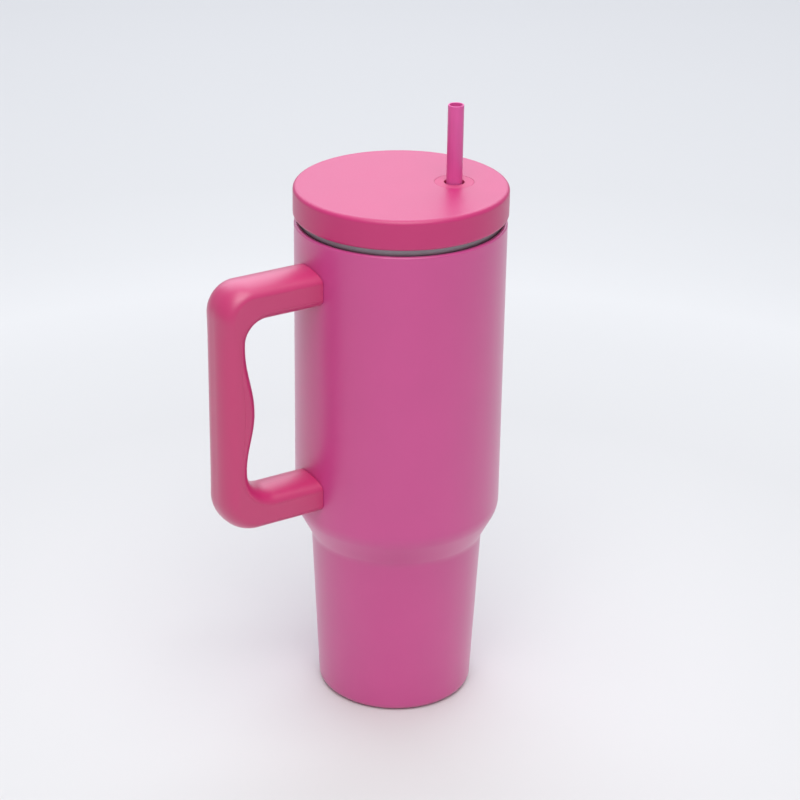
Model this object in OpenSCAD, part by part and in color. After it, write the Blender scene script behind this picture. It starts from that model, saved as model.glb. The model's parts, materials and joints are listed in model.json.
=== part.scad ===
// Insulated tumbler: a double-wall steel cup with a side handle, a press-in lid and a straw.
// The origin is the centre of the foot, on the cup's axis. +Z is up and the handle lies along -X.

/* [Body] */
// Outside diameter of the cup above its shoulder
body_d = 100; // [96:1:104]
// Diameter at the foot
foot_d = 76; // [72:1:78]
// Diameter of the waist, where the narrow foot meets the shoulder
waist_d = 84; // [80:1:86]
// Height of the waist
waist_z = 84.3; // [70:0.1:88]
// Height at which the shoulder reaches the full diameter
shoulder_z = 99.5; // [96:0.1:104]
// Height of the painted body
body_h = 245.8; // [240:0.1:250]
// Radius of the edge that the cup stands on
foot_edge_r = 3.8; // [2:0.1:5]
// Radius of the hollow fillet at the waist
waist_r = 8.6; // [4:0.1:14]
// Radius of the round at the shoulder
shoulder_r = 14.9; // [10:0.1:20]
// Radius of the painted top edge
top_edge_r = 1.05; // [0.5:0.05:1.5]

/* [Walls] */
// Thickness of each steel wall
wall = 0.5; // [0.4:0.05:0.8]
// Vacuum gap between the two walls
vacuum_gap = 3.2; // [2.8:0.1:3.6]
// Height of the inside floor above the foot
floor_z = 11.8; // [11:0.1:14]
// Outside diameter of the bare steel neck
neck_d = 95.2; // [94.6:0.1:95.4]
// Height of the rim
rim_z = 253; // [252:0.1:254]

/* [Lid] */
// Outside diameter of the lid
lid_d = 101; // [100.5:0.1:103]
// Height of the lid's skirt and top
lid_h = 14.4; // [14:0.1:16]
// Bare neck that shows between the body and the lid
neck_gap = 3; // [2:0.1:4]
// Wall thickness of the lid's cover
lid_wall = 1.8; // [1.6:0.05:2]
// Radius of the lid's top edge
lid_edge_r = 2.1; // [1:0.1:3]
// Diameter of the plug that presses into the neck
plug_d = 92.4; // [90:0.1:93]
// Depth of the plug below the rim
plug_depth = 13; // [12:0.1:14]

/* [Straw] */
// Outside diameter of the straw
straw_d = 7.5; // [7:0.1:8]
// Bore of the straw
straw_bore = 5.9; // [5:0.1:6]
// Distance of the straw from the cup's axis
straw_offset = 25; // [20:0.5:26]
// Direction of the straw, measured from +X
straw_angle = -23.2; // [-180:0.1:180]
// Length of straw that stands above the lid
straw_above = 37.3; // [20:0.1:60]
// Diameter of the hole in the silicone grommet
grommet_hole_d = 9.6; // [9:0.1:10]
// Diameter of the grommet's flush ring
grommet_d = 18.7; // [17:0.1:20]

/* [Handle] */
// Distance from the cup's axis to the outer face of the handle
handle_reach = 100.5; // [98:0.5:106]
// Width of the handle
handle_w = 23.4; // [23.4:0.1:28]
// Height of each arm's section
arm_t = 18.6; // [18:0.1:20]
// Depth of the upright bar's section
bar_t = 14; // [13.6:0.1:15]
// Height of the middle of the upper arm
upper_arm_z = 222.9; // [215:0.1:230]
// Height of the middle of the lower arm
lower_arm_z = 117; // [115:0.1:125]
// Outside corner radii, upper and lower
outer_corner_r = [15, 16.5];
// Inside corner radii, upper and lower
inner_corner_r = [9.4, 12.4];
// Half-axes of the rounded finger side, in depth and across
finger_round = [5.5, 11.6];
// Half-axes of the rounded backs of the arms
arm_round = [5.5, 11.6];
// Half-axes of the rounded back of the bar
bar_round = [7.8, 10];
// Height of the finger bump on the inside of the bar
bump_h = 4.45; // [0:0.05:6]
// Height of the middle of the finger bump
bump_z = 169.5; // [160:0.5:175]
// Reach of the bump above and below its middle
bump_reach = [31.9, 29];
// Depth of the finger-side cover
cover_t = 5.6; // [5.6:0.1:6]
// Wall thickness of the handle
handle_wall = 2.6; // [2:0.1:3]

/* [Hidden] */
$fn = 96;

arc_steps = 8;
corner_steps = 10;
bar_steps = 22;
edge_steps = 9;
body_r = body_d / 2;
foot_r = foot_d / 2;
cone_angle = atan((waist_d - foot_d) / 2 / waist_z);

// Vacuum side of the cup
liner_inset = wall + vacuum_gap;
floor_under = floor_z - wall;
liner_corner_r = 8;
neck_r = neck_d / 2;
neck_in = neck_r - wall;
flare_z = [233.5, 237.5];
curl_z = body_h - 3;
weld_play = 0.05;
rim_edge_r = wall / 2 - 0.01;
foil_t = 0.2;
foil_gap = 0.1;

// Foot
ring_in = foot_r - 5;
dish_z = 5;
dish_skirt = 2.4;
dish_r = 37.5;
pip_r = 3;
pip_depth = 1.6;
cover_z = 0.6;
getter_d = 10;
getter_h = 2.4;
getter_at = 20;
clip_t = 0.4;

// Lid
lid_r = lid_d / 2;
lid_low = body_h + neck_gap;
lid_top = lid_low + lid_h;
lid_in = lid_top - lid_wall;
skirt_in = neck_r + 0.8;
skirt_edge_r = 1.7;
flange_z = rim_z + 0.3;
flange_t = 1.7;
plug_r = plug_d / 2;
plug_wall = 2.8;
plug_low = rim_z - plug_depth;
floor_t = 1.6;
groove_z = [plug_low + 4.2, plug_low + 8.2];
groove_r = plug_r - 1.2;
seal_play = 0.05;
lip_gap = 0.15;
lip_t = 0.8;
weld_rib = [44.5, 46];

// Straw and grommet
straw_x = straw_offset * cos(straw_angle);
straw_y = straw_offset * sin(straw_angle);
straw_low = floor_z + 2.2;
grommet_seat = 1.5;
seat_t = 3.3;
seat_hole_r = 6.6;
seat_boss_r = 11.5;
bead_r = 7.6;
guide_lip_r = straw_d / 2 + 0.08;
guide_tube = [4.8, 6.4];

// Handle and its fixings
bar_in = handle_reach - bar_t;
half_w = handle_w / 2;
arm_root = 47;
seam_play = 0.05;
bump_share = 0.6;
block_lap = 0.2;
slab = 10;
body_play = 0.1;
block_end = 68;
screw_at = 59;
screw_r = 2;
head_r = 3.6;
head_h = 2.2;
bore_r = 4.1;
bore_depth = 4;
screw_len = 7.4;
plug_inset = 0.5;
tongue = [14.4, 12, 2.4];
foot_plate = [1.2, 15, 7.6];
fixing_play = 0.15;

// ---- outlines -------------------------------------------------------------------------------

function unit(v) = v / norm(v);
function turned(v, a) = [v[0] * cos(a) - v[1] * sin(a), v[0] * sin(a) + v[1] * cos(a)];

// One corner b of an outline, between its neighbours a and c, as an arc of radius r
function corner(a, b, c, r) = r <= 0 ? [b] :
    let (to_a = unit(a - b), to_c = unit(c - b), half = acos(to_a * to_c) / 2,
         tangent = b + to_a * r / tan(half),
         centre = b + unit(to_a + to_c) * r / sin(half),
         side = cross(b - a, c - b) > 0 ? 1 : -1)
    [for (i = [0:arc_steps]) centre + turned(tangent - centre, side * (180 - 2 * half) * i / arc_steps)];

// A closed outline of [x, y, radius] corners
function rounded(p) = let (n = len(p), xy = [for (q = p) [q[0], q[1]]])
    [for (i = [0:n - 1]) each corner(xy[(i + n - 1) % n], xy[i], xy[(i + 1) % n], p[i][2])];

module lathe(p) {
    rotate_extrude() polygon(rounded(p));
}

module ring(r_in, r_out, z_low, z_high, edge = 0) {
    lathe([[r_in, z_low, edge], [r_out, z_low, edge], [r_out, z_high, edge], [r_in, z_high, edge]]);
}

// ---- cup walls ------------------------------------------------------------------------------

// Radius of the lower cone at height z, a distance inset inside the outer face
function cone_r(z, inset) = foot_r + z * tan(cone_angle) - inset / cos(cone_angle);

// The side wall's corners from its foot up to z_top, a distance inset inside the outer face
function side(inset, z_low, low_r, z_top, top_r) =
    let (slope = atan((body_d - waist_d) / 2 / (shoulder_z - waist_z)),
         n_foot = [cos(cone_angle), -sin(cone_angle)], n_shoulder = [cos(slope), -sin(slope)],
         waist = [waist_d / 2, waist_z] - inset * (n_foot + n_shoulder) / (1 + n_foot * n_shoulder),
         shoulder = [body_r, shoulder_z] - inset * (n_shoulder + [1, 0]) / (1 + n_shoulder[0]))
    [[cone_r(z_low, inset), z_low, low_r],
     [waist[0], waist[1], waist_r + inset],
     [shoulder[0], shoulder[1], shoulder_r - inset],
     [body_r - inset, z_top, top_r]];

function reversed(p) = [for (i = [len(p) - 1:-1:0]) p[i]];

// Its top edge is rolled in, down to the weld against the neck
module outer_shell() {
    curl = neck_r + weld_play;
    inner_r = top_edge_r - wall;
    color("orchid") lathe(concat(
        [[ring_in, 0, 0]],
        side(0, 0, foot_edge_r, body_h, top_edge_r),
        [[curl, body_h, top_edge_r], [curl, curl_z, 0], [curl + wall, curl_z, 0],
         [curl + wall, body_h - wall, inner_r]],
        reversed(side(wall, wall, foot_edge_r - wall, body_h - wall, inner_r)),
        [[ring_in, wall, 0]]));
}

module outer_bottom() {
    color("silver") difference() {
        lathe([[0, dish_z, 0], [dish_r - wall, dish_z, 0], [dish_r - wall, dish_z - 0.2, 0],
               [dish_r, dish_z - 0.2, 0], [dish_r, dish_z + dish_skirt, 0],
               [dish_r - wall, dish_z + dish_skirt, 0], [dish_r - 3, dish_z + wall, 2],
               [pip_r + 3, dish_z + wall, 1], [pip_r + 1.6, dish_z + wall + pip_depth, 0],
               [0, dish_z + wall + pip_depth, 0]]);
        translate([0, 0, dish_z - 1]) cylinder(r = pip_r, h = pip_depth + 1);
        translate([0, 0, dish_z]) cylinder(r = 0.8, h = 4);
    }
}

module base_cover() {
    color("orchid") lathe([
        [0, cover_z + 0.5, 0], [ring_in - 9, cover_z + 0.5, 1], [ring_in - 7.5, cover_z, 1],
        [ring_in - 0.2, cover_z, 0.6], [ring_in - 0.2, dish_z - 0.4, 0],
        [ring_in - 1, dish_z - 0.4, 0], [ring_in - 1, cover_z + wall, 0],
        [ring_in - 7.2, cover_z + wall, 1], [ring_in - 8.7, cover_z + wall + 0.5, 1],
        [0, cover_z + wall + 0.5, 0]]);
}

module inner_liner() {
    inside = liner_inset + wall;
    outer = side(liner_inset, floor_under, liner_corner_r, flare_z[0] + 0.3, 4);
    inner = side(inside, floor_z, liner_corner_r - wall, flare_z[0], 4);
    color("gainsboro") lathe(concat(
        [[0, floor_under, 0]], outer,
        [[neck_r, flare_z[1] + 0.3, 3], [neck_r, rim_z, rim_edge_r],
         [neck_in, rim_z, rim_edge_r], [neck_in, flare_z[1], 3]],
        reversed(inner), [[0, floor_z, 0]]));
}

module liner_foil() {
    near = liner_inset - foil_gap;
    far = near - foil_t;
    color("peru") lathe(concat(
        side(far, floor_under + 12, 0, flare_z[0] - 8, 0),
        reversed(side(near, floor_under + 12, 0, flare_z[0] - 8, 0))));
}

module getter() {
    color("dimgray") translate([getter_at, 0, dish_z + wall]) difference() {
        cylinder(d = getter_d, h = getter_h);
        translate([0, 0, getter_h - 0.6]) cylinder(d = getter_d - 2, h = 1);
    }
}

module getter_clip() {
    length = getter_d + 6;
    width = 3;
    top = dish_z + wall + getter_h + 0.05;
    color("silver") translate([getter_at, -width / 2, 0]) {
        translate([-length / 2, 0, top]) cube([length, width, clip_t]);
        for (x = [-length / 2, length / 2 - clip_t])
            translate([x, 0, dish_z + wall]) cube([clip_t, width, getter_h + 0.1]);
    }
}

module vacuum_seal() {
    color("darkslategray") translate([0, 0, dish_z + 0.2])
        cylinder(r = pip_r - 0.05, h = pip_depth - 0.25);
}

// ---- handle ---------------------------------------------------------------------------------

function bump(z) = let (d = z > bump_z ? (z - bump_z) / bump_reach[0] : (bump_z - z) / bump_reach[1])
    d < 1 ? bump_h * pow(cos(90 * d), 2) : 0;

// Distance from a corner's pivot to the outer face, along a ray at angle a
function outer_hit(a, inner_r, outer_r) = let (
    ray = [cos(a), sin(a)], centre = [bar_t, arm_t] + [1, 1] * (inner_r - outer_r),
    to_arm = (arm_t + inner_r) / ray[1], to_bar = (bar_t + inner_r) / ray[0])
    to_arm * ray[0] <= centre[0] ? to_arm : to_bar * ray[1] <= centre[1] ? to_bar :
    ray * centre + sqrt(pow(outer_r, 2) - pow(cross(ray, centre), 2));

// Stations along the handle, as [inner point, outer point, half-axes of the back, bump height], each
// point being [distance from the cup's axis, height]. up is 1 at the upper corner, -1 at the lower.
function corner_station(a, arm_in, inner_r, outer_r, up) = let (
    pivot = [bar_in - inner_r, arm_in - up * inner_r], ray = [cos(a), up * sin(a)])
    [pivot + inner_r * ray, pivot + outer_hit(a, inner_r, outer_r) * ray,
     bar_round + (arm_round - bar_round) * pow(sin(a), 2), 0];

function handle_stations() = let (
    up_in = upper_arm_z - arm_t / 2, low_in = lower_arm_z + arm_t / 2,
    bar_high = up_in - inner_corner_r[0], bar_low = low_in + inner_corner_r[1])
    concat(
        [[[arm_root, up_in], [arm_root, up_in + arm_t], arm_round, 0]],
        [for (i = [corner_steps:-1:0])
            corner_station(90 * i / corner_steps, up_in, inner_corner_r[0], outer_corner_r[0], 1)],
        [for (i = [1:bar_steps - 1]) let (z = bar_high + (bar_low - bar_high) * i / bar_steps)
            [[bar_in - bump(z), z], [handle_reach, z], bar_round, bump(z)]],
        [for (i = [0:corner_steps])
            corner_station(90 * i / corner_steps, low_in, inner_corner_r[1], outer_corner_r[1], -1)],
        [[[arm_root, low_in], [arm_root, low_in - arm_t], arm_round, 0]]);

// Quarter of an ellipse with half-axes r about c, from angle a0
function quarter(c, r, a0) =
    [for (i = [0:edge_steps]) let (a = a0 + 90 * i / edge_steps) c + [r[0] * cos(a), r[1] * sin(a)]];

// Sections, as [depth from the finger side, distance across]. Point i of each lies across from
// the i-th point from its end.
function arch(seam, depth, w, r) = concat(
    [[seam, -w]], quarter([depth - r[0], -w + r[1]], r, -90),
    quarter([depth - r[0], w - r[1]], r, 0), [[seam, w]]);

function outer_section(depth, r, seam) = concat(
    arch(seam, depth, half_w, r), reversed(channel(depth, r, seam, 0)));

// The hollow of the outer section, grown by lap
function channel(depth, r, seam, lap) = let (wall = handle_wall - lap)
    arch(seam, depth - wall, half_w - wall, r - [wall, wall]);

function inner_section(seam) = let (r = finger_round, w = half_w)
    concat([[seam, w]], quarter([r[0], w - r[1]], r, 90), quarter([r[0], -w + r[1]], r, 180), [[seam, -w]]);

// Places a section at a station, in the row's own axes
function placed(station, section) = let (along = unit(station[1] - station[0]))
    [for (q = section) let (p = station[0] + along * q[0]) [-p[0], q[1], p[1]]];

function outer_ring(s) = placed(s, outer_section(norm(s[1] - s[0]), s[2],
    cover_t + bump_share * s[3] + seam_play));
function inner_ring(s) = placed(s, inner_section(cover_t + bump_share * s[3] - seam_play));

// A skin over rings of points, closed at both ends by strips from one half of the ring to the other
module loft(rings) {
    m = len(rings[0]);
    last = (len(rings) - 1) * m;
    polyhedron([for (r = rings) each r], concat(
        [for (i = [0:m / 2 - 2]) [i, i + 1, m - 2 - i, m - 1 - i]],
        [for (r = [0:m:last - m], i = [0:m - 1]) let (a = r + i, b = r + (i + 1) % m)
            each [[a, b + m, b], [a, a + m, b + m]]],
        [for (i = [0:m / 2 - 2]) [last + m - 1 - i, last + m - 2 - i, last + i + 1, last + i]]));
}

// What an arm's end has to clear: the cup, the bracket and the screw
module arm_cuts(arm_z) {
    low = arm_z - arm_t / 2;
    tall = tongue[2] + 2 * fixing_play;
    translate([0, 0, arm_z - arm_t]) cylinder(r = body_r + body_play, h = 2 * arm_t);
    intersection() {
        translate([0, 0, arm_z - arm_t]) cylinder(r = body_r + foot_plate[0] + fixing_play, h = 2 * arm_t);
        translate([-body_r, 0, arm_z])
            cube([slab, foot_plate[1] + 2 * fixing_play, foot_plate[2] + 2 * fixing_play], center = true);
    }
    translate([-body_r - tongue[0] - 1, -tongue[1] / 2 - fixing_play, arm_z - tall / 2])
        cube([tongue[0] + 2, tongue[1] + 2 * fixing_play, tall]);
    translate([-screw_at, 0, low - 1]) cylinder(r = bore_r, h = bore_depth + 1);
    translate([-screw_at, 0, low]) cylinder(r = screw_r + 0.2, h = bore_depth + screw_len + 0.4);
}

// Solid end of an arm, which fills the channel around the bracket. up is 1 on the upper arm.
module arm_block(arm_z, up) {
    section = channel(arm_t, arm_round, cover_t + seam_play, block_lap);
    translate([-arm_root - 1, 0, arm_z - up * arm_t / 2]) rotate([0, -90, 0])
        linear_extrude(block_end - arm_root - 1) polygon([for (q = section) [up * q[0], q[1]]]);
}

module handle_outer() {
    color("palevioletred") difference() {
        union() {
            loft([for (s = handle_stations()) outer_ring(s)]);
            arm_block(upper_arm_z, 1);
            arm_block(lower_arm_z, -1);
        }
        arm_cuts(upper_arm_z);
        arm_cuts(lower_arm_z);
    }
}

module handle_inner() {
    color("palevioletred") difference() {
        loft([for (s = handle_stations()) inner_ring(s)]);
        arm_cuts(upper_arm_z);
        arm_cuts(lower_arm_z);
    }
}

module bracket(arm_z) {
    color("silver") translate([0, 0, arm_z]) difference() {
        union() {
            intersection() {
                ring(body_r, body_r + foot_plate[0], -foot_plate[2] / 2, foot_plate[2] / 2);
                translate([-body_r, 0, 0]) cube([slab, foot_plate[1], slab], center = true);
            }
            translate([-body_r - tongue[0], -tongue[1] / 2, -tongue[2] / 2])
                cube([tongue[0] - 0.5, tongue[1], tongue[2]]);
        }
        translate([-screw_at, 0, -tongue[2]]) cylinder(r = screw_r + 0.05, h = 2 * tongue[2]);
    }
}

module upper_bracket() bracket(upper_arm_z);
module lower_bracket() bracket(lower_arm_z);

module handle_screws() {
    color("silver") for (arm_z = [upper_arm_z, lower_arm_z])
        translate([-screw_at, 0, arm_z - arm_t / 2 + bore_depth]) difference() {
            union() {
                translate([0, 0, -head_h]) cylinder(r = head_r, h = head_h);
                cylinder(r = screw_r, h = screw_len);
            }
            translate([0, 0, -head_h - 1]) cylinder(r = 1.5, h = 2.3, $fn = 6);
        }
}

module plug(arm_z) {
    color("palevioletred") translate([-screw_at, 0, arm_z - arm_t / 2])
        ring(0, bore_r - 0.05, plug_inset, bore_depth - head_h - 0.1, 0.3);
}

module upper_plug() plug(upper_arm_z);
module lower_plug() plug(lower_arm_z);

// ---- lid ------------------------------------------------------------------------------------

module at_straw(z) {
    translate([straw_x, straw_y, z]) children();
}

module lid_cover() {
    color("hotpink") difference() {
        union() {
            lathe([[0, lid_in, 0], [skirt_in, lid_in, 1], [skirt_in, lid_low, 0],
                   [lid_r, lid_low, skirt_edge_r], [lid_r, lid_top, lid_edge_r], [0, lid_top, 0]]);
            at_straw(lid_top - grommet_seat - seat_t) cylinder(r = seat_boss_r, h = seat_t);
        }
        at_straw(lid_top - grommet_seat) cylinder(d = grommet_d + 0.1, h = grommet_seat + 1);
        at_straw(lid_in - seat_t - 1) cylinder(r = seat_hole_r, h = seat_t + 3);
    }
}

module lid_base() {
    flange_r = skirt_in - 0.2;
    wall_in = plug_r - plug_wall;
    tube_top = lid_top - grommet_seat - seat_t - 2;
    color("hotpink") difference() {
        union() {
            lathe([[0, plug_low, 0], [plug_r, plug_low, 1.2], [plug_r, groove_z[0], 0],
                   [groove_r, groove_z[0], 0], [groove_r, groove_z[1], 0], [plug_r, groove_z[1], 0],
                   [plug_r, flange_z, 0], [flange_r, flange_z, 0.5],
                   [flange_r, flange_z + flange_t, 0.5], [weld_rib[1], flange_z + flange_t, 0],
                   [weld_rib[1], lid_in, 0], [weld_rib[0], lid_in, 0],
                   [weld_rib[0], flange_z + flange_t, 0], [wall_in, flange_z + flange_t, 0],
                   [wall_in, plug_low + floor_t, 1], [0, plug_low + floor_t, 0]]);
            at_straw(plug_low) cylinder(r = guide_tube[1], h = tube_top - plug_low);
        }
        at_straw(plug_low - 1) cylinder(r = guide_tube[0], h = tube_top - plug_low + 2);
    }
}

module lid_seal() {
    root = groove_r + seal_play;
    low = groove_z[0] + 2 * seal_play;
    high = groove_z[1] - 2 * seal_play;
    lip = neck_in - lip_gap;
    color("hotpink") lathe([
        [root, low, 0.2], [lip, low, 0.3], [lip, low + lip_t, 0.3], [plug_r + 0.1, low + lip_t + 0.2, 0.2],
        [plug_r + 0.1, high - lip_t - 0.2, 0.2], [lip, high - lip_t, 0.3], [lip, high, 0.3],
        [root, high, 0.2]]);
}

module straw_grommet() {
    seat = lid_top - grommet_seat;
    under = seat - seat_t - 0.05;
    hole = grommet_hole_d / 2;
    color("hotpink") translate([straw_x, straw_y, 0]) lathe([
        [hole, lid_top, 0.3], [hole, under + 0.6, 0.3], [guide_lip_r, under + 0.1, 0.15],
        [guide_lip_r, under - 0.5, 0.15], [hole, under - 0.9, 0.2], [hole, under - 1.5, 0],
        [bead_r - 0.8, under - 1.5, 0.5], [bead_r, under, 0.3], [seat_hole_r - 0.02, under, 0],
        [seat_hole_r - 0.02, seat, 0], [grommet_d / 2, seat, 0], [grommet_d / 2, lid_top, 0.25]]);
}

module straw() {
    color("lightpink") at_straw(0)
        ring(straw_bore / 2, straw_d / 2, straw_low, lid_top + straw_above, 0.3);
}

outer_shell();
outer_bottom();
base_cover();
inner_liner();
liner_foil();
getter();
getter_clip();
vacuum_seal();
upper_bracket();
lower_bracket();
handle_outer();
handle_inner();
handle_screws();
upper_plug();
lower_plug();
lid_cover();
lid_base();
lid_seal();
straw_grommet();
straw();
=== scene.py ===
"""Insulated tumbler: materials, fine handle pieces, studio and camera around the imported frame."""
import json
import math

import bmesh
import bpy
from mathutils import Euler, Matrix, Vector


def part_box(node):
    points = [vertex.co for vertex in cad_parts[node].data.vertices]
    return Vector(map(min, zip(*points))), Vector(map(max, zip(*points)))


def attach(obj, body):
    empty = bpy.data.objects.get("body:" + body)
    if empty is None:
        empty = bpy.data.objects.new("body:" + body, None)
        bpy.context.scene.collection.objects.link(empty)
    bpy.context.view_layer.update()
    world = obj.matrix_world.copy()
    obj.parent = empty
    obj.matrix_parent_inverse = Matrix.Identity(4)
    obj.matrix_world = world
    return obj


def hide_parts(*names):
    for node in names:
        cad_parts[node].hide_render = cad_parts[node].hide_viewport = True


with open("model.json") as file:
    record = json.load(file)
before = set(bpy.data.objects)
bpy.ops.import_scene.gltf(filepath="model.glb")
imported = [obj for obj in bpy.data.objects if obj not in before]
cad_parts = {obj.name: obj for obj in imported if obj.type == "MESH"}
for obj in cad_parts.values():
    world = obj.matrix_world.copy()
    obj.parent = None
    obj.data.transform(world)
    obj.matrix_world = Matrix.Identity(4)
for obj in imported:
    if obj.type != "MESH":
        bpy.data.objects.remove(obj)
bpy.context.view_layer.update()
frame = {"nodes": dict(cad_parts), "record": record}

MM = 0.001


# ---- material building ----------------------------------------------------------------------


class Shader:
    """A material's node tree round one Principled shader."""

    def __init__(self, name, **sockets):
        self.material = bpy.data.materials.new(name)
        self.material.use_nodes = True
        self.nodes = self.material.node_tree.nodes
        self.surface = self.nodes["Principled BSDF"]
        for socket, value in sockets.items():
            self.surface.inputs[socket.replace("_", " ")].default_value = value

    def add(self, kind, inputs=(), **settings):
        """A node of that kind. inputs maps its sockets to numbers, colours or other nodes' outputs."""
        node = self.nodes.new(kind)
        for name, value in settings.items():
            setattr(node, name, value)
        for key, value in dict(inputs).items():
            self.put(node, key, value)
        return node

    def put(self, node, key, value):
        if isinstance(value, bpy.types.NodeSocket):
            self.material.node_tree.links.new(value, node.inputs[key])
        else:
            node.inputs[key].default_value = value

    def place(self):
        return self.add("ShaderNodeTexCoord").outputs["Object"]

    def stretched(self, scale):
        """Object coordinates, stretched to scale along X, Y and Z."""
        node = self.add("ShaderNodeMapping", {"Vector": self.place(), "Scale": scale})
        return node.outputs["Vector"]

    def around_axis(self, around, along):
        """Coordinates for streaks that run round the cup: slow round it, quick along and across."""
        place = self.place()
        level = self.add("ShaderNodeVectorMath", {0: place, 1: (1, 1, 0)}, operation="MULTIPLY")
        radius = self.add("ShaderNodeVectorMath", {0: level.outputs[0]}, operation="LENGTH")
        ring = self.add("ShaderNodeVectorMath", {0: level.outputs[0]}, operation="NORMALIZE")
        spread = self.add(
            "ShaderNodeVectorMath", {0: ring.outputs[0], "Scale": around}, operation="SCALE"
        )
        height = self.add("ShaderNodeSeparateXYZ", {0: place}).outputs["Z"]
        run = self.math("ADD", height, radius.outputs["Value"])
        lift = self.add("ShaderNodeCombineXYZ", {"Z": self.math("MULTIPLY", run, along)})
        both = self.add("ShaderNodeVectorMath", {0: spread.outputs[0], 1: lift.outputs[0]})
        return both.outputs[0]

    def math(self, operation, a, b):
        return self.add("ShaderNodeMath", {0: a, 1: b}, operation=operation).outputs[0]

    def noise(self, vector, scale, detail=2.0, roughness=0.5):
        inputs = {"Vector": vector, "Scale": scale, "Detail": detail, "Roughness": roughness}
        return self.add("ShaderNodeTexNoise", inputs).outputs["Fac"]

    def spread(self, value, low, high, from_low=0.3, from_high=0.7):
        """value, taken from from_low..from_high to low..high."""
        inputs = {0: value, 1: from_low, 2: from_high, 3: low, 4: high}
        return self.add("ShaderNodeMapRange", inputs).outputs[0]

    def tinted(self, value, dark, light):
        """A colour between two, as value goes from 0 to 1."""
        node = self.add("ShaderNodeMix", data_type="RGBA")
        self.put(node, 0, value)
        node.inputs[6].default_value = (*dark, 1)
        node.inputs[7].default_value = (*light, 1)
        return node.outputs[2]

    def bumped(self, height, depth, normal=None):
        """A bump depth metres deep where height goes from 0 to 1."""
        inputs = {"Height": height, "Distance": depth}
        if normal is not None:
            inputs["Normal"] = normal
        return self.add("ShaderNodeBump", inputs).outputs["Normal"]

    def finish(self, **links):
        for socket, value in links.items():
            self.put(self.surface, socket.replace("_", " "), value)
        return self.material


def scaled(colour, by):
    return tuple(min(1.0, c * by) for c in colour)


# ---- the object's materials -------------------------------------------------------------------

PAINT = (0.630, 0.053, 0.267)
HANDLE_PINK = (0.590, 0.023, 0.152)
LID_PINK = (0.580, 0.018, 0.160)
SILICONE_PINK = (0.640, 0.070, 0.210)
STRAW_PINK = (0.880, 0.125, 0.440)
# Painted shade: the steel's colour is darkened to stand in for the shade in the neck's gap under the
# lid; steel_plain is 1.4 times as light
STEEL_WITH_PAINTED_SHADE = (0.35, 0.32, 0.35)


def powder_coat(name, colour):
    """Satin powder coat: orange peel, a fine grain, faint turning lines of the steel underneath."""
    s = Shader(name, Metallic=0.0, IOR=1.5, Coat_Weight=1.0, Coat_Roughness=0.35, Coat_IOR=1.5)
    place = s.place()
    cloud = s.noise(place, 38, 3)
    peel = s.noise(place, 900, 2)
    grain = s.noise(place, 4200, 2, 0.6)
    lines = s.noise(s.around_axis(1.6, 1), 1400, 3, 0.65)
    tone = s.math("ADD", s.math("MULTIPLY", cloud, 0.55), s.math("MULTIPLY", lines, 0.45))
    colour_socket = s.tinted(s.spread(tone, 0, 1), scaled(colour, 0.965), scaled(colour, 1.03))
    rough = s.spread(s.math("ADD", s.math("MULTIPLY", grain, 0.6), s.math("MULTIPLY", lines, 0.4)),
                     0.40, 0.50)
    normal = s.bumped(lines, 0.004 * MM, s.bumped(peel, 0.012 * MM, s.bumped(grain, 0.003 * MM)))
    return s.finish(Base_Color=colour_socket, Roughness=rough, Normal=normal)


def moulded(name, colour, rough, texture, depth, mottle=0.02, coat=1.0):
    """Moulded plastic with a sparked mould's fine grain."""
    s = Shader(name, Metallic=0.0, IOR=1.48, Coat_Weight=coat, Coat_Roughness=0.4, Coat_IOR=1.5)
    place = s.place()
    cloud = s.noise(place, 30, 3)
    grain = s.noise(place, texture, 3, 0.6)
    pits = s.add("ShaderNodeTexVoronoi", {"Vector": place, "Scale": texture * 0.8})
    tone = s.math("ADD", s.math("MULTIPLY", cloud, 0.7), s.math("MULTIPLY", grain, 0.3))
    colour_socket = s.tinted(
        s.spread(tone, 0, 1), scaled(colour, 1 - mottle), scaled(colour, 1 + mottle)
    )
    rough_socket = s.spread(grain, rough - 0.04, rough + 0.05)
    normal = s.bumped(grain, depth, s.bumped(pits.outputs["Distance"], depth * 0.5))
    return s.finish(Base_Color=colour_socket, Roughness=rough_socket, Normal=normal)


def turned_steel(name, colour, rough, line_depth):
    """Stainless steel with the fine rings that spinning and polishing leave."""
    s = Shader(name, Metallic=1.0)
    fine = s.noise(s.around_axis(1.2, 1), 2600, 4, 0.7)
    broad = s.noise(s.around_axis(0.8, 1), 240, 3)
    cloud = s.noise(s.place(), 60, 3)
    tone = s.math("ADD", s.math("MULTIPLY", fine, 0.5), s.math("MULTIPLY", cloud, 0.5))
    colour_socket = s.tinted(s.spread(tone, 0, 1), scaled(colour, 0.86), scaled(colour, 1.06))
    rough_socket = s.spread(s.math("ADD", s.math("MULTIPLY", fine, 0.7),
                                   s.math("MULTIPLY", broad, 0.3)), rough - 0.06, rough + 0.10)
    normal = s.bumped(fine, line_depth, s.bumped(broad, line_depth))
    return s.finish(Base_Color=colour_socket, Roughness=rough_socket, Normal=normal)


def foil(name):
    s = Shader(name, Metallic=1.0)
    creases = s.add("ShaderNodeTexVoronoi", {"Vector": s.place(), "Scale": 90},
                    feature="DISTANCE_TO_EDGE")
    crumple = s.noise(s.place(), 120, 4)
    colour_socket = s.tinted(s.spread(crumple, 0, 1), (0.66, 0.38, 0.25), (0.84, 0.55, 0.38))
    normal = s.bumped(crumple, 0.2 * MM, s.bumped(creases.outputs["Distance"], 0.3 * MM))
    return s.finish(
        Base_Color=colour_socket, Roughness=s.spread(crumple, 0.18, 0.34), Normal=normal
    )


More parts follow.
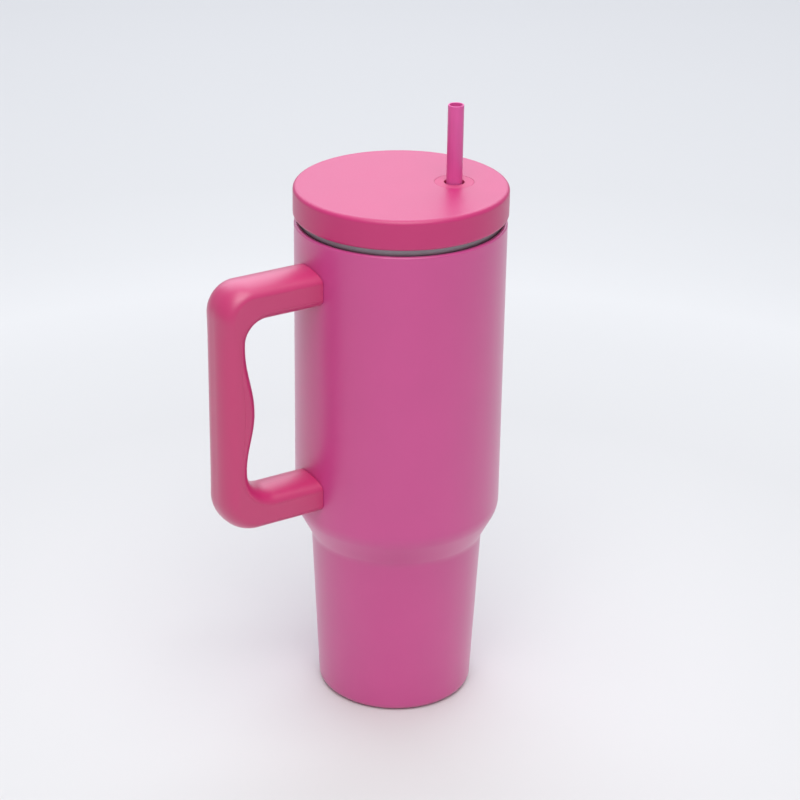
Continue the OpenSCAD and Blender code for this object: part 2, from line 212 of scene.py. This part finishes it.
def pressed_powder(name):
    s = Shader(name, Metallic=0.3)
    grain = s.noise(s.place(), 2600, 4, 0.7)
    colour_socket = s.tinted(s.spread(grain, 0, 1), (0.06, 0.06, 0.065), (0.20, 0.20, 0.21))
    return s.finish(
        Base_Color=colour_socket, Roughness=s.spread(grain, 0.6, 0.9),
        Normal=s.bumped(grain, 0.06 * MM)
    )


def solder_glass(name):
    s = Shader(name, IOR=1.6)
    flow = s.noise(s.place(), 420, 3)
    colour_socket = s.tinted(s.spread(flow, 0, 1), (0.03, 0.035, 0.04), (0.09, 0.10, 0.11))
    return s.finish(
        Base_Color=colour_socket, Roughness=s.spread(flow, 0.08, 0.22),
        Normal=s.bumped(flow, 0.05 * MM)
    )


def clear_tint(name, colour):
    """Translucent tinted tube: light passes through its wall, with faint draw lines along it."""
    s = Shader(name, Metallic=0.0, IOR=1.5, Transmission_Weight=0.2)
    lines = s.noise(s.stretched((1, 1, 0.03)), 1500, 3)
    cloud = s.noise(s.place(), 80, 2)
    tone = s.math("ADD", s.math("MULTIPLY", lines, 0.5), s.math("MULTIPLY", cloud, 0.5))
    colour_socket = s.tinted(s.spread(tone, 0, 1), scaled(colour, 0.94), scaled(colour, 1.05))
    return s.finish(
        Base_Color=colour_socket, Roughness=s.spread(lines, 0.28, 0.38),
        Normal=s.bumped(lines, 0.006 * MM)
    )


MATERIALS = {
    "body_paint": powder_coat("body_paint_look", PAINT),
    "base_paint": powder_coat("base_paint_look", PAINT),
    # Painted shade: this steel is darker than steel_plain to stand in for the shade in the neck's gap
    # under the lid
    "steel": turned_steel("steel_painted_shade_look", STEEL_WITH_PAINTED_SHADE, 0.46, 0.004 * MM),
    "steel_plain": turned_steel("steel_plain_look", scaled(STEEL_WITH_PAINTED_SHADE, 1.4), 0.38, 0.003 * MM),
    "foil": foil("foil_look"),
    "getter_metal": pressed_powder("getter_metal_look"),
    "seal_glass": solder_glass("seal_glass_look"),
    "handle_plastic": moulded("handle_plastic_look", HANDLE_PINK, 0.40, 2400, 0.010 * MM),
    "lid_plastic": moulded("lid_plastic_look", LID_PINK, 0.44, 3000, 0.012 * MM, coat=0.6),
    "silicone": moulded("silicone_look", SILICONE_PINK, 0.58, 1700, 0.008 * MM, 0.03, 0.3),
    "straw_plastic": clear_tint("straw_plastic_look", STRAW_PINK),
}
for piece in frame["record"]["subparts"]:
    look = MATERIALS[piece["material_slot"]]
    for material_slot in frame["nodes"][piece["node"]].material_slots:
        material_slot.material = look


# ---- the handle's two mouldings, finer than their CAD solids ------------------------------------
# Millimetres. A section is a list of (depth from the finger side, distance across). A station along
# the handle is (finger-side point, back point, half-axes of the back's round, bump), and its points
# are (reach from the cup's axis, height).

ARM_DEPTH = 18.6
BAR_DEPTH = 14.0
CORNERS = {"upper": (9.4, 15.0), "lower": (12.4, 16.5)}
FINGER_ROUND = Vector((5.5, 11.6))
ARM_ROUND = Vector((5.5, 11.6))
BAR_ROUND = Vector((7.8, 10.0))
BUMP_HEIGHT = 4.45
BUMP_AT = 169.5
BUMP_REACH = (31.9, 29.0)
BUMP_SHARE = 0.6
PLATE_DEPTH = 5.6
SEAM_PLAY = 0.01
SEAM_ROUND = 0.08
WALL = 2.6
BODY_RADIUS = 50.0
BODY_PLAY = 0.1
END_ROUND = 0.35
BLOCK_END = 68.0
BLOCK_LAP = 0.2
BRACKET_PLATE = (1.35, 15.3, 7.9)
BRACKET_TONGUE = (15.4, 12.3, 2.7)
ROOM_START = BODY_RADIUS - 2
SCREW_AT = 59.0
BORE = (4.1, 4.0)
BORE_FLARE = 0.25
SCREW_HOLE = (2.2, 11.8)
ARC_STEPS = 14
SEAM_STEPS = 3
CORNER_STEPS = 26
BAR_STEPS = 64
ROUND_STEPS = 64
SHARP_ANGLE = math.radians(35)

HANDLE_BOX = [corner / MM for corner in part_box("handle_outer")]
REACH = -HANDLE_BOX[0].x
HALF_WIDTH = HANDLE_BOX[1].y
ARM_HEIGHTS = {"upper": HANDLE_BOX[1].z - ARM_DEPTH / 2, "lower": HANDLE_BOX[0].z + ARM_DEPTH / 2}


def polar(centre, radius, angle):
    """The point at an angle round centre. radius is a number, or a pair of half-axes."""
    turn = math.radians(angle)
    wide, tall = radius if isinstance(radius, Vector) else (radius, radius)
    return centre[0] + wide * math.cos(turn), centre[1] + tall * math.sin(turn)


def arc(centre, radius, start, end, steps=ARC_STEPS):
    return [polar(centre, radius, start + (end - start) * i / steps) for i in range(steps + 1)]


def mirrored(points):
    """The other half of a section, going back the other way."""
    return [(depth, -across) for depth, across in reversed(points)]


def bump(height):
    away = height - BUMP_AT
    share = abs(away) / BUMP_REACH[0 if away > 0 else 1]
    return BUMP_HEIGHT * math.cos(math.radians(90 * share)) ** 2 if share < 1 else 0.0


def back_distance(angle, inner, outer):
    """How far the back of the handle is from a corner's pivot, along a ray at that angle."""
    ray = Vector(polar((0, 0), 1, angle))
    centre = Vector((BAR_DEPTH, ARM_DEPTH)) + Vector((1, 1)) * (inner - outer)
    if (ARM_DEPTH + inner) * ray.x <= centre.x * ray.y:
        return (ARM_DEPTH + inner) / ray.y
    if (BAR_DEPTH + inner) * ray.y <= centre.y * ray.x:
        return (BAR_DEPTH + inner) / ray.x
    return ray.dot(centre) + math.sqrt(outer**2 - ray.cross(centre) ** 2)


def corner_station(angle, side):
    inner, outer = CORNERS[side]
    up = 1 if side == "upper" else -1
    pivot = (REACH - BAR_DEPTH - inner, ARM_HEIGHTS[side] - up * (ARM_DEPTH / 2 + inner))
    back_round = BAR_ROUND.lerp(ARM_ROUND, math.sin(math.radians(angle)) ** 2)
    back = back_distance(angle, inner, outer)
    return polar(pivot, inner, up * angle), polar(pivot, back, up * angle), back_round, 0.0


def bar_station(height):
    return (REACH - BAR_DEPTH - bump(height), height), (REACH, height), BAR_ROUND, bump(height)


def handle_stations():
    """From the end of the upper arm, down the bar, to the end of the lower arm."""
    turns = [90 * i / CORNER_STEPS for i in range(CORNER_STEPS + 1)]
    upper = [corner_station(turn, "upper") for turn in reversed(turns)]
    lower = [corner_station(turn, "lower") for turn in turns]
    high, low = upper[-1][0][1], lower[0][0][1]
    bar = [bar_station(high + (low - high) * i / BAR_STEPS) for i in range(1, BAR_STEPS)]
    return upper + bar + lower


def arch(depth, half_width, back_round, inset=0.0):
    """Half of a rounded back, from its side to the middle."""
    centre = (depth - back_round.x, half_width - back_round.y)
    return arc(centre, back_round - Vector((inset, inset)), 90, 0)


def hollow(depth, back_round, seam, lap=0.0):
    """Half of the channel's inside, grown by lap."""
    wall = WALL - lap
    inner_round = back_round - Vector((wall, wall))
    lip = [(seam + SEAM_ROUND * i / SEAM_STEPS, HALF_WIDTH - wall) for i in range(SEAM_STEPS + 1)]
    return lip + arch(depth - wall, HALF_WIDTH - wall, inner_round)


def back_section(depth, back_round, seam, inset):
    """The back moulding: a channel that is open towards the finger side."""
    seam += SEAM_PLAY
    side = HALF_WIDTH - inset - SEAM_ROUND
    outer = arc((seam + SEAM_ROUND, side), SEAM_ROUND, 180, 90, SEAM_STEPS)
    outer += arch(depth, HALF_WIDTH, back_round, inset)
    inner = hollow(depth, back_round, seam)
    return outer + mirrored(outer) + list(reversed(inner + mirrored(inner)))


def front_section(depth, back_round, seam, inset):
    """The finger-side moulding."""
    seam -= SEAM_PLAY
    side = HALF_WIDTH - inset - SEAM_ROUND
    centre = (FINGER_ROUND.x, HALF_WIDTH - FINGER_ROUND.y)
    half = arc(centre, FINGER_ROUND - Vector((inset, inset)), 180, 90)
    half += arc((seam - SEAM_ROUND, side), SEAM_ROUND, 90, 0, SEAM_STEPS)
    return half + mirrored(half)


def block_section(depth, back_round, seam, inset):
    """What fills the channel at an arm's end."""
    half = hollow(depth, back_round, seam + SEAM_PLAY, BLOCK_LAP)
    return half + mirrored(half)


def ring_at(station, section, inset=0.0, body_gap=None):
    """A section set at a station or, with body_gap, on a round that far out from the cup."""
    start, back = Vector(station[0]), Vector(station[1])
    depth_way = (back - start).normalized()
    seam = PLATE_DEPTH + BUMP_SHARE * station[3]
    points = []
    for depth, across in section((back - start).length, station[2], seam, inset):
        reach, height = start + depth_way * depth
        if body_gap is not None:
            reach = math.sqrt((BODY_RADIUS + body_gap) ** 2 - across**2)
        points.append((-reach, across, height))
    return points


def arm_end(station, section):
    """The rings that round an arm's end off where it meets the body."""
    turns = arc((END_ROUND, END_ROUND), END_ROUND, 180, 270, SEAM_STEPS)
    return [ring_at(station, section, inset, BODY_PLAY + gap) for inset, gap in turns]


def moulding_rings(section):
    stations = handle_stations()
    rings = [ring_at(station, section) for station in stations]
    return arm_end(stations[0], section)[::-1] + rings + arm_end(stations[-1], section)


def mesh_object(name, vertices, faces):
    """An object from points in millimetres, with its faces turned outwards."""
    mesh = bpy.data.meshes.new(name)
    mesh.from_pydata([Vector(v) * MM for v in vertices], [], faces)
    shape = bmesh.new()
    shape.from_mesh(mesh)
    bmesh.ops.recalc_face_normals(shape, faces=shape.faces)
    shape.to_mesh(mesh)
    shape.free()
    piece = bpy.data.objects.new(name, mesh)
    bpy.context.collection.objects.link(piece)
    return piece


def loft(name, rings):
    """A closed skin over rings of points, with strips across both ends."""
    count = len(rings[0])
    last = (len(rings) - 1) * count
    faces = [(i, i + 1, count - 2 - i, count - 1 - i) for i in range(count // 2 - 1)]
    faces += [tuple(last + i for i in reversed(face)) for face in faces]
    for ring in range(0, last, count):
        for i in range(count):
            j = (i + 1) % count
            faces.append((ring + i, ring + count + i, ring + count + j, ring + j))
    return mesh_object(name, [point for ring in rings for point in ring], faces)


def turned_solid(name, profile, reach):
    """A closed solid turned about the upright line at that reach, from (radius, height) points."""
    vertices, faces = [], [tuple(range(ROUND_STEPS))]
    for radius, height in profile:
        ring = arc((-reach, 0), radius, 0, 360, ROUND_STEPS)[:-1]
        vertices += [(x, y, height) for x, y in ring]
    for start in range(0, len(vertices) - ROUND_STEPS, ROUND_STEPS):
        for i in range(ROUND_STEPS):
            j = (i + 1) % ROUND_STEPS
            faces.append((start + i, start + j, start + ROUND_STEPS + j, start + ROUND_STEPS + i))
    faces.append(tuple(range(len(vertices) - ROUND_STEPS, len(vertices))))
    return mesh_object(name, vertices, faces)


def arm_blocks():
    """The solid ends that fill the back moulding's channel round each bracket."""
    for side in CORNERS:
        start, back, back_round, _ = corner_station(90, side)
        station = ((BLOCK_END, start[1]), (BLOCK_END, back[1]), back_round, 0.0)
        near = ring_at(station, block_section, body_gap=BODY_PLAY + BLOCK_LAP)
        yield loft("block", [near, ring_at(station, block_section)])


def bracket_room(name, size, flat, at):
    """Room for part of a bracket: size is its reach beyond the body, its width and its height."""
    out, wide, tall = size
    rings = []
    for reach, straight in ((ROOM_START, False), (BODY_RADIUS + out, flat)):
        across = [wide * (i / ARC_STEPS - 0.5) for i in range(ARC_STEPS + 1)]
        line = [(reach if straight else math.sqrt(reach**2 - a**2), a) for a in across]
        rings.append([(-r, a, at + tall / 2) for r, a in line]
                     + [(-r, a, at - tall / 2) for r, a in reversed(line)])
    return loft(name, rings)


def arm_rooms():
    """What each arm leaves room for: the bracket's plate and tongue, the screw and its plug."""
    for at in ARM_HEIGHTS.values():
        yield bracket_room("plate_room", BRACKET_PLATE, False, at)
        yield bracket_room("tongue_room", BRACKET_TONGUE, True, at)
        low = at - ARM_DEPTH / 2
        radius, depth = BORE
        profile = [(radius + BORE_FLARE + 1, low - 1), (radius, low + BORE_FLARE),
                   (radius, low + depth), (SCREW_HOLE[0], low + depth),
                   (SCREW_HOLE[0], low + SCREW_HOLE[1])]
        yield turned_solid("screw_room", profile, SCREW_AT)


def combined(piece, others, operation):
    """piece with the others joined to it or cut from it. The others are used up."""
    for other in others:
        step = piece.modifiers.new("step", "BOOLEAN")
        step.operation, step.object, step.solver = operation, other, "MANIFOLD"
        view = bpy.context.evaluated_depsgraph_get()
        mesh = bpy.data.meshes.new_from_object(piece.evaluated_get(view))
        piece.modifiers.clear()
        piece.data = mesh
        bpy.data.objects.remove(other)
    return piece


def moulding(name, section, node, blocks=()):
    piece = combined(loft(name, moulding_rings(section)), blocks, "UNION")
    combined(piece, arm_rooms(), "DIFFERENCE")
    piece.data.shade_smooth()
    piece.data.set_sharp_from_angle(angle=SHARP_ANGLE)
    weigh = piece.modifiers.new("weigh", "WEIGHTED_NORMAL")
    weigh.keep_sharp = True
    piece.data.materials.clear()
    piece.data.materials.append(MATERIALS["handle_plastic"])
    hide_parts(node)
    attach(piece, "cup")


moulding("handle_back", back_section, "handle_outer", arm_blocks())
moulding("handle_front", front_section, "handle_inner")


# ---- studio -----------------------------------------------------------------------------------

# The camera, as seen from the onlooker: angles in degrees, places in metres
VIEW_AZIMUTH = -30.5
VIEW_ELEVATION = 24.76
VIEW_DISTANCE = 1.016
VIEW_HEIGHT = 0.6213
VIEW_SIDE = 0.0352
LENS = 103.98
FRAME_SHIFT = 0.0933
SKY = (0.740, 0.755, 0.800)
ROOM = (0.40, 0.41, 0.44)
FLOOR_RADIUS = 14.0
# Painted light: the floor's grey by distance from the cup, paler near it and darker far off as painted
# fall-off of the lamps' light, as (share of FLOOR_FADE, grey), and its slight warmth
FLOOR_FADE = 1.6
FLOOR_PAINTED_FALLOFF = ((0.0, 0.77), (0.2, 0.69), (0.28, 0.71), (0.33, 0.74), (0.38, 0.71), (0.47, 0.68),
               (1.0, 0.655))
FLOOR_BLUE = 0.98
CENTRE = Vector((0, 0, 0.13))


def turned(vector, azimuth):
    """vector, given with +Y away from an onlooker at that azimuth, in the row frame."""
    return Euler((0, 0, math.radians(azimuth))).to_matrix() @ Vector(vector)


def make_camera():
    data = bpy.data.cameras.new("camera")
    data.lens = LENS
    data.sensor_width = 36
    data.shift_x = FRAME_SHIFT
    camera = bpy.data.objects.new("camera", data)
    bpy.context.collection.objects.link(camera)
    camera.location = turned((-VIEW_SIDE, -VIEW_DISTANCE, VIEW_HEIGHT), VIEW_AZIMUTH)
    camera.rotation_euler = (math.radians(90 - VIEW_ELEVATION), 0, math.radians(VIEW_AZIMUTH))
    bpy.context.scene.camera = camera


def make_sky():
    """The room's soft light, and the pale tone that a camera sees past the floor."""
    world = bpy.data.worlds.new("studio")
    world.use_nodes = True
    tree = world.node_tree
    room = tree.nodes["Background"]
    room.inputs["Color"].default_value = (*ROOM, 1)
    seen = tree.nodes.new("ShaderNodeBackground")
    seen.inputs["Color"].default_value = (*SKY, 1)
    ray = tree.nodes.new("ShaderNodeLightPath")
    mix = tree.nodes.new("ShaderNodeMixShader")
    tree.links.new(ray.outputs["Is Camera Ray"], mix.inputs["Fac"])
    tree.links.new(room.outputs[0], mix.inputs[1])
    tree.links.new(seen.outputs[0], mix.inputs[2])
    tree.links.new(mix.outputs[0], tree.nodes["World Output"].inputs["Surface"])
    bpy.context.scene.world = world


def softbox(name, azimuth, elevation, distance, size, glow, colour=(1, 1, 1)):
    """A flat light that faces the object from that azimuth, as the onlooker at the camera sees it."""
    data = bpy.data.lights.new(name, "AREA")
    data.shape = "RECTANGLE"
    data.size, data.size_y = size
    data.energy = glow * math.pi * size[0] * size[1]
    data.color = colour
    light = bpy.data.objects.new(name, data)
    bpy.context.collection.objects.link(light)
    rise, reach = math.radians(elevation), distance * math.cos(math.radians(elevation))
    turn = math.radians(azimuth)
    place = (reach * math.sin(turn), -reach * math.cos(turn), distance * math.sin(rise))
    light.location = CENTRE + turned(place, VIEW_AZIMUTH)
    light.rotation_euler = (light.location - CENTRE).to_track_quat("Z", "Y").to_euler()


def make_floor():
    """A pale sheet with painted light: paler near the object and darker away from it, as painted
    fall-off of the lamps' light, towards the sky's tone.
    """
    mesh = bpy.data.meshes.new("floor")
    half = FLOOR_RADIUS
    mesh.from_pydata([(-half, -half, 0), (half, -half, 0), (half, half, 0), (-half, half, 0)], [],
                     [(0, 1, 2, 3)])
    floor = bpy.data.objects.new("floor", mesh)
    bpy.context.collection.objects.link(floor)
    s = Shader("floor_painted_falloff_look", Metallic=0.0, Roughness=0.6, IOR=1.3)
    flat = s.add("ShaderNodeVectorMath", {0: s.place(), 1: (1, 1, 0)}, operation="MULTIPLY")
    far = s.add("ShaderNodeVectorMath", {0: flat.outputs[0]}, operation="LENGTH").outputs["Value"]
    # Painted light: the ramp makes the floor darker with distance from the cup
    ramp = s.add("ShaderNodeValToRGB", {0: s.spread(far, 0, 1, 0, FLOOR_FADE)})
    elements = ramp.color_ramp.elements
    while len(elements) < len(FLOOR_PAINTED_FALLOFF):
        elements.new(1)
    for element, (at, grey) in zip(elements, FLOOR_PAINTED_FALLOFF):
        element.position = at
        element.color = (grey, grey, grey * FLOOR_BLUE, 1)
    mottle = s.noise(s.place(), 3, 2)
    shade = s.add("ShaderNodeMix", data_type="RGBA", blend_type="MULTIPLY")
    shade.inputs[0].default_value = 1
    s.put(shade, 6, ramp.outputs["Color"])
    s.put(shade, 7, s.tinted(mottle, (0.985, 0.985, 0.985), (1, 1, 1)))
    mesh.materials.append(s.finish(Base_Color=shade.outputs[2]))


make_camera()
make_sky()
make_floor()
softbox("overhead", 0, 75, 2.0, (1.6, 1.6), 2.7)
softbox("back", 180, 42, 2.0, (2.6, 1.8), 1.6, (0.93, 0.97, 1.10))
softbox("front", 0, 48, 2.2, (1.6, 1.3), 2.0)
bpy.context.scene.view_settings.view_transform = "Standard"
